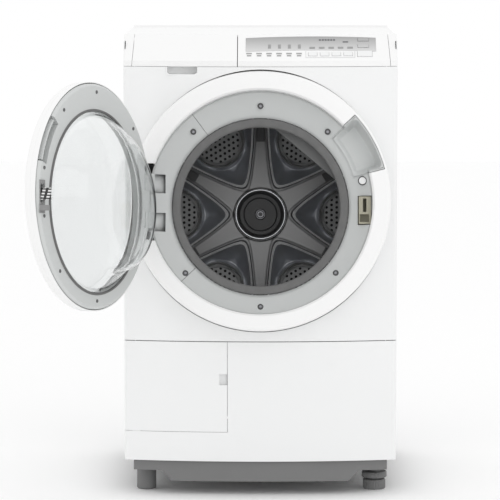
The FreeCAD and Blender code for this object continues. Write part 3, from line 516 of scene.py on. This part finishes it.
def make_star_finish():
    steel = Finish("pressed_drum_steel", (0.12, 0.122, 0.126), 0.3, Metallic=1.0)
    centre = in_drum(np.zeros(3))
    local = steel.place(tuple(centre), (-lean, 0, 0))
    x = steel.node("SeparateXYZ", output=0, Vector=local)
    depth = steel.node("SeparateXYZ", output=1, Vector=local)
    z = steel.node("SeparateXYZ", output=2, Vector=local)
    radius = (x * x + z * z).math("SQRT")
    turn = (z.math("ARCTAN2", x) + (SECTOR / 2 + 2 * math.pi)).math("MODULO", SECTOR) - SECTOR / 2
    along, across = radius * turn.math("COSINE"), radius * turn.math("SINE")
    column = (along - FIRST_HOLES) / HOLE_PITCH + 0.5
    stagger = column.math("FLOOR").math("MODULO", 2.0) * 0.5
    row = across / HOLE_PITCH + stagger
    off_x = (column.math("FRACT") - 0.5) * HOLE_PITCH
    off_z = (row.math("FRACT") - 0.5) * HOLE_PITCH
    to_hole = (off_x * off_x + off_z * off_z).math("SQRT")
    from_plate = ((along - PLATE_AT) * (along - PLATE_AT) + across * across).math("SQRT")
    plated = from_plate < (PLATE_R - PLATE_MARGIN)
    hole = (to_hole < HOLE_R) * plated
    rim = (to_hole < HOLE_R * 1.5) * plated - hole
    height = 1.0 - (depth - STAR_TOP) / (STAR_LOW - STAR_TOP)
    satin = height > 0.975
    # rolled marks the rolled edges of the arms, which get a painted highlight below
    rolled = (height > 0.84) * (1.0 - satin)
    on_plate = from_plate < PLATE_R
    cloud = steel.noise(0.05, 1.5)
    # the valleys are polished steel, their tone raised brighter and bluer as a painted reflection
    valley_tone_and_painted_reflection = steel.mix(cloud, (0.34, 0.35, 0.375), (0.50, 0.515, 0.54))
    arm = steel.mix(cloud, (0.20, 0.20, 0.201), (0.26, 0.26, 0.261))
    plate = steel.mix(cloud, (0.27, 0.27, 0.271), (0.34, 0.34, 0.341))
    # painted highlight: the rolled edges are painted near white over the valley tone
    valley_with_painted_edge_highlight = steel.mix(rolled, valley_tone_and_painted_reflection, (0.97, 0.97, 0.97))
    color = steel.mix(on_plate, steel.mix(satin, valley_with_painted_edge_highlight, arm), plate)
    steel.set("Base Color", steel.mix(hole, color, (0.002, 0.002, 0.002)))
    # the metal is lowered on the rolled edges so that their painted highlight shows white
    steel.set("Metallic", 0.55 + satin * 0.35 - hole * 0.5 - rolled * 0.5)
    steel.set("Roughness", 0.3 + satin * 0.08 + on_plate * 0.16 + hole * 0.4 + cloud * 0.06)
    steel.bump(1.0 - hole - rim * 0.5 + steel.noise(0.002) * 0.02, 0.0006)
    return steel.material


finishes["pressed_star"] = make_star_finish()
ring_r = np.concatenate([np.linspace(STAR_HOLE_R, STAR_R, 118), [STAR_R, 0.150, STAR_HOLE_R]])
ring_a = np.linspace(0, 2 * np.pi, 552, endpoint=False)
grid_r, grid_a = np.meshgrid(ring_r, ring_a, indexing="ij")
star_y = star_depth(grid_r, grid_a)
star_y[-3:] = STAR_BACK
star = np.stack([grid_r * np.cos(grid_a), star_y, grid_r * np.sin(grid_a)], -1)
skin("drum_back_star", in_drum(star), finishes["pressed_star"], "drum", ("drum_back",),
     wrap=(True, True), sharp=75)

# %% [markdown]
# ## Hub
# A dark moulded dish sits in the middle of the star, inside a chrome ring. A turned outline
# gives the dish, its sloping wall and the disc that carries the bolt.

# %% Hub dish
dish = np.array([
    (0, 449.5), (10.8, 449.5), (11.6, 448.2), (13, 449.6), (36.2, 450.0), (38, 448.4), (39.4, 450.4),
    (46.5, 449.6), (50.4, 443.6), (52, 440.2), (55.2, 441.5), (57.4, 452), (57.6, 470), (30, 474), (0, 474),
]) / 1000
skin("hub_dish", in_drum(turned(dish, 112)), finishes["dark_plastic"], "drum",
     ("hub_cap",), sharp=35)

# %% [markdown]
# ## Door
# The white frame is a turned ring with rounded corners and a fine seam round its rim. The
# window is a shallow dome. The bowl is lofted: rings that shrink and sink towards its nose,
# which is deepest below the middle so that it presses on the clothes.

# %% White frame of the door
frame_outline = np.array([
    (205, 0.2), (229, 0), (229.6, 0.8), (230.4, 0.8), (231, 0), (235.4, 0.2), (239.6, 1.6), (241.4, 5.8),
    (241.4, 13.6), (240.9, 14.0), (240.9, 14.6), (241.4, 15), (241.4, 26.9), (239.2, 26.9), (239.2, 6.6),
    (234.8, 2.7), (205, 2.6),
]) / 1000
skin("door_frame_moulding", in_door(turned(softened(frame_outline, 0.0012, 3), 176)),
     finishes["white_plastic"], "door", ("door_outer_frame",), wrap=(True, True), sharp=50)

# %% Window and bowl
DOME_R, DOME_RISE, DOME_WALL = 0.2043, 0.0049, 0.003
dome_r = np.linspace(0, DOME_R, 28)
dome_y = DOME_RISE * ((dome_r / DOME_R) ** 2 - 1)
dome = np.concatenate([np.stack([dome_r, dome_y], -1), np.stack([dome_r, dome_y + DOME_WALL], -1)[::-1]])
skin("door_window_dome", in_door(turned(dome, 144)), finishes["clear_glass"], "door",
     ("door_window",))

bowl_rings = np.array([                             # radius, depth and height of the middle
    (190, 28, -12), (187.5, 31, -12), (182, 41, -11), (174, 52, -10), (165, 64, -9), (156, 75, -8),
    (149.5, 86, -11), (142, 96, -16), (129, 107, -24), (112, 113.6, -33), (86, 115.6, -36),
    (46, 115.9, -37), (0, 115.9, -37),
]) / 1000
marks = np.linspace(0, 1, len(bowl_rings))
fine = np.linspace(0, 1, 66)
smooth = np.stack([np.interp(fine, marks, column) for column in bowl_rings.T], -1)
for _ in range(2):
    smooth[1:-1] = (smooth[:-2] + 2 * smooth[1:-1] + smooth[2:]) / 4
bowl_angle = np.linspace(0, 2 * np.pi, 160, endpoint=False)
bowl = np.stack([
    smooth[:, :1] * np.cos(bowl_angle),
    np.broadcast_to(smooth[:, 1:2], (len(smooth), len(bowl_angle))),
    smooth[:, 2:] + smooth[:, :1] * np.sin(bowl_angle),
], -1)
skin("door_bowl_glass", in_door(bowl[::-1]), finishes["clear_glass"], "door", ("door_bowl",),
     sharp=80, thick=0.003)

# %% [markdown]
# ## Moulded grip pocket
# Fingers reach behind the door through a soft pocket in the bezel. Its depth is a function of
# place: the floor, minus a wall that rises to the rim, where the distance to the rim is that
# of a rectangle with rounded corners, drawn on the radius and the arc.

# %% Pocket lining
POCKET_R, POCKET_ARC = (0.2112, 0.2770), (math.radians(15.8), math.radians(41.8))
POCKET_CORNER, POCKET_FLOOR = 0.014, 0.0612
BEZEL_EDGE_R, BEZEL_EDGE_DEPTH, BEZEL_FALL = 0.2445, 0.0385, 0.63    # cone that the pocket opens from
COLLAR_DEPTH = 0.0012
pocket_r, pocket_a = np.meshgrid(np.linspace(*POCKET_R, 60), np.linspace(*POCKET_ARC, 84), indexing="ij")
half_r, half_a = (POCKET_R[1] - POCKET_R[0]) / 2, (POCKET_ARC[1] - POCKET_ARC[0]) / 2
off_r = np.abs(pocket_r - sum(POCKET_R) / 2) - half_r + POCKET_CORNER
off_a = (np.abs(pocket_a - sum(POCKET_ARC) / 2) - half_a) * pocket_r + POCKET_CORNER
past_corner = np.hypot(np.maximum(off_r, 0), np.maximum(off_a, 0))
to_rim = POCKET_CORNER - past_corner - np.minimum(np.maximum(off_r, off_a), 0)
cone = BEZEL_EDGE_DEPTH + (BEZEL_EDGE_R - pocket_r) * BEZEL_FALL
on_collar = eased((pocket_r - BEZEL_EDGE_R + 0.002) / 0.004)
rim_depth = cone * (1 - on_collar) + COLLAR_DEPTH * on_collar
pocket_y = rim_depth + (POCKET_FLOOR - rim_depth) * eased((to_rim + 0.001) / POCKET_CORNER) ** 0.8
pocket = np.stack([pocket_r * np.cos(pocket_a), pocket_y, pocket_r * np.sin(pocket_a)], -1)
skin("grip_pocket_lining", in_mouth(pocket), finishes["bezel_grey_plastic"], "cabinet",
     wrap=(False, False), sharp=80, thick=0.0006)

# %% [markdown]
# ## Screws, buffer and small mouldings
# A pan-head screw in its counterbore reads as a dark ring about a bright dome: the dark ring is painted shade,
# the counterbore made as a well of dark plastic. One turned outline makes the head and one the well, and they
# are set down where the model has screws.
# The two slots in which the hinge arms rest get a sloping back, behind the shut arms.


# %% Turned fittings at the places of the model's own
def islands(node):
    """Middle of each separate solid of a CAD node, found by joining its triangles by shared corners."""
    copy = bmesh.new()
    copy.from_mesh(frame["nodes"][node].data)
    bmesh.ops.remove_doubles(copy, verts=copy.verts, dist=1e-6)
    left, middles = set(copy.verts), []
    while left:
        group, edge = set(), [left.pop()]
        while edge:
            vertex = edge.pop()
            group.add(vertex)
            near = {e.other_vert(vertex) for e in vertex.link_edges} & left
            left -= near
            edge += near
        corners = np.array([v.co for v in group])
        middles.append((corners.min(0) + corners.max(0)) / 2)
    copy.free()
    print(node, "solids", len(middles))
    return middles


def turned_fitting(name, outline, middles, along, finish, body, replaced=(), columns=28):
    """The turned outline (radius, height), once at each middle, standing along the given direction."""
    along = np.asarray(along, float) / np.linalg.norm(along)
    side = np.cross(along, (0, 0, 1.0) if abs(along[2]) < 0.9 else (1.0, 0, 0))
    side /= np.linalg.norm(side)
    other = np.cross(along, side)
    ring = turned(np.asarray(outline, float) / 1000, columns)
    local = ring[..., :1] * side + ring[..., 1:2] * along + ring[..., 2:] * other
    made = [skin(f"{name}_{k + 1}", middle + local, finish, body) for k, middle in enumerate(middles)]
    if replaced:
        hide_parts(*replaced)


def door_direction(vector):
    """A direction drawn on the shut door, as it points on the open one."""
    return in_door(np.array(vector, float)) - in_door(np.zeros(3))


screw_head = [(0, 1.2), (1.4, 1.15), (1.5, 0.3), (1.9, 0.3), (2.0, 1.0), (3.2, 0.5), (3.7, -0.5), (3.7, -1.5)]
bezel_heads = islands("bezel_screws")
turned_fitting("bezel_screw", screw_head, bezel_heads, -depth_axis, finishes["screw_steel"], "cabinet")
# the well takes dark plastic as painted shade in the counterbore of the grey bezel
well = [(3.7, -0.3), (5.7, 1.9), (6.5, 2.0), (6.5, 1.2), (3.7, -1.4)]
turned_fitting("bezel_screw_painted_shade_well", well, bezel_heads, -depth_axis, finishes["duct_plastic"], "cabinet",
               ("bezel_screws",))
flat_head = [(0, 0.2), (1.8, 0.2), (2.0, 0.75), (3.4, 0.6), (3.9, -0.2), (3.9, -0.7)]
turned_fitting("door_screw", flat_head, islands("door_screws"), door_direction((0, 1, 0)),
               finishes["duct_plastic"], "door", ("door_screws",))

HINGE_SLOT_AT, HINGE_SLOT_HALF = 0.042, 0.0215           # height of each slot's middle, and half its height
SLOT_OUTER, SLOT_INNER = (-0.250, 0.0455), (-0.2065, 0.0685)    # across and depth of a back's two edges
for place, middle in (("upper", HINGE_SLOT_AT), ("lower", -HINGE_SLOT_AT)):
    corners = [[(*SLOT_OUTER, middle + side), (*SLOT_INNER, middle + side)]
               for side in (-HINGE_SLOT_HALF, HINGE_SLOT_HALF)]
    skin(f"hinge_slot_back_{place}", in_mouth(np.array(corners)), finishes["bezel_grey_plastic"], "cabinet",
         wrap=(False, False), thick=0.0012)

BUFFER_AT, BOLT_AT = (0.223, 0.0455, 0.0486), (0.0, 0.4438, 0.0)
buffer_ring = [(7.6, 0.5), (7.9, 1.6), (9.4, 1.4), (9.9, 0.2), (9.9, -3), (7.6, -3)]
turned_fitting("door_buffer_ring", buffer_ring, [in_mouth(np.array(BUFFER_AT))], -depth_axis,
               finishes["dark_plastic"], "cabinet", columns=48)
bolt_head = [(0, -0.2), (4.4, -0.2), (4.8, 0.8), (5.4, -0.6), (8.6, 0.4), (10.2, -0.4), (10.4, -4)]
turned_fitting("hub_bolt_head", bolt_head, [in_drum(np.array(BOLT_AT))], -depth_axis,
               finishes["motor_steel"], "drum", columns=48)

# %% [markdown]
# ## Printed marks of the fascia
# The touch marks, the outline about the course keys and the lamps in the window are printed.
# They are thin strips laid a fraction of a millimetre above the leaning face, or above the
# window, which stands a little higher. The face bows with the front: the bow is an arc whose
# radius follows from its half width and its rise. Marks go by X and by share of the slope.

# %% Marks on the leaning fascia
fascia_low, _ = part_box("control_fascia")
BOW_HALF, BOW = 0.291, 0.028                             # half width and rise of the bow
bow_radius = (BOW_HALF ** 2 + BOW ** 2) / (2 * BOW)
FOLD_Z, SLOPE = 0.958, np.array([0.0, 0.065, 0.055])
slope_out = np.array([0.0, -SLOPE[2], SLOPE[1]]) / np.linalg.norm(SLOPE)
STRIP_POINTS = 6                                         # points along a mark, to follow the bow
FACE_LIFT, WINDOW_LIFT = 0.00025, 0.00045


def on_fascia(x, share, lift):
    """Points of the leaning face, at x and a share of its height, raised by lift along its normal."""
    x, share = np.broadcast_arrays(np.asarray(x, float), np.asarray(share, float))
    front = fascia_low.y + bow_radius - np.sqrt(bow_radius ** 2 - x ** 2)
    base = np.stack([x, front, np.full_like(x, FOLD_Z)], -1)
    return base + share[..., None] * SLOPE + lift * slope_out


def printed(name, marks, finish, lift):
    """All the marks (x0, x1, share0, share1) of one ink, as one piece of thin strips."""
    x = np.array([[m[0], m[1]] for m in marks])
    s = np.array([[m[2], m[3]] for m in marks])
    across = x[:, :1] + (x[:, 1:] - x[:, :1]) * np.linspace(0, 1, STRIP_POINTS)
    points = on_fascia(across[:, None, :], s[:, :, None], lift)
    count = len(points)
    index = np.arange(count * 2 * STRIP_POINTS).reshape(count, 2, STRIP_POINTS)
    quads = np.stack([index[:, 0, :-1], index[:, 0, 1:], index[:, 1, 1:], index[:, 1, :-1]], -1)
    mesh = bpy.data.meshes.new(name)
    mesh.from_pydata(points.reshape(-1, 3).tolist(), [], quads.reshape(-1, 4).tolist())
    add_piece(name, mesh, finish, "cabinet")
    print(name, "marks", count)


grey_ink = grained("grey_ink", (0.42, 0.42, 0.42), 0.6, vary=0.15)
pale_ink = grained("pale_ink", (0.62, 0.63, 0.63), 0.6, vary=0.1)
dark_ink = grained("window_ink", (0.16, 0.16, 0.17), 0.5, vary=0.2)
faint_ink = grained("faint_ink", (0.33, 0.33, 0.33), 0.5)


def row(first, last, low, high, pitch, count):
    """The same mark, from first to last across and from low to high, `count` times at a pitch."""
    return [(first + pitch * k, last + pitch * k, low, high) for k in range(count)]


TOUCH_PITCH, LINE = 0.0218, 0.0009
touch = row(-0.0312, -0.0188, 0.255, 0.31, TOUCH_PITCH, 6) + row(-0.0298, -0.0202, 0.175, 0.23, TOUCH_PITCH, 6)
left, right, foot, top = 0.0985, 0.2065, 0.125, 0.375
outline = [(left, right, foot, foot + 0.012), (left, left + LINE, foot, top), (right - LINE, right, foot, top)]
lamps = row(0.128, 0.1325, 0.76, 0.82, 0.0062, 6)
lamps += [(0.18, 0.192, 0.69, 0.735), (0.216, 0.2305, 0.765, 0.80), (0.216, 0.2305, 0.545, 0.58)]
figures = row(0.107, 0.119, 0.46, 0.53, 0.0207, 5) + row(0.0165, 0.0225, 0.47, 0.62, TOUCH_PITCH, 4)
printed("touch_marks", touch, grey_ink, FACE_LIFT)
printed("course_outline", outline, pale_ink, FACE_LIFT)
printed("window_lamps", lamps, dark_ink, WINDOW_LIFT)
printed("window_figures", figures, faint_ink, WINDOW_LIFT)

# %% Floor
floor_mesh = bpy.data.meshes.new("floor")
FLOOR_HALF = 9.0                                                  # half the side of the floor
floor_corners = np.array([(-1, -1), (1, -1), (1, 1), (-1, 1)]) * FLOOR_HALF
floor_mesh.from_pydata([(x, y, 0) for x, y in floor_corners], [], [(0, 1, 2, 3)])
floor = bpy.data.objects.new("floor", floor_mesh)
floor_mesh.materials.append(Finish("pale_floor", (0.985, 0.985, 0.985), 0.9).material)
scene.collection.objects.link(floor)
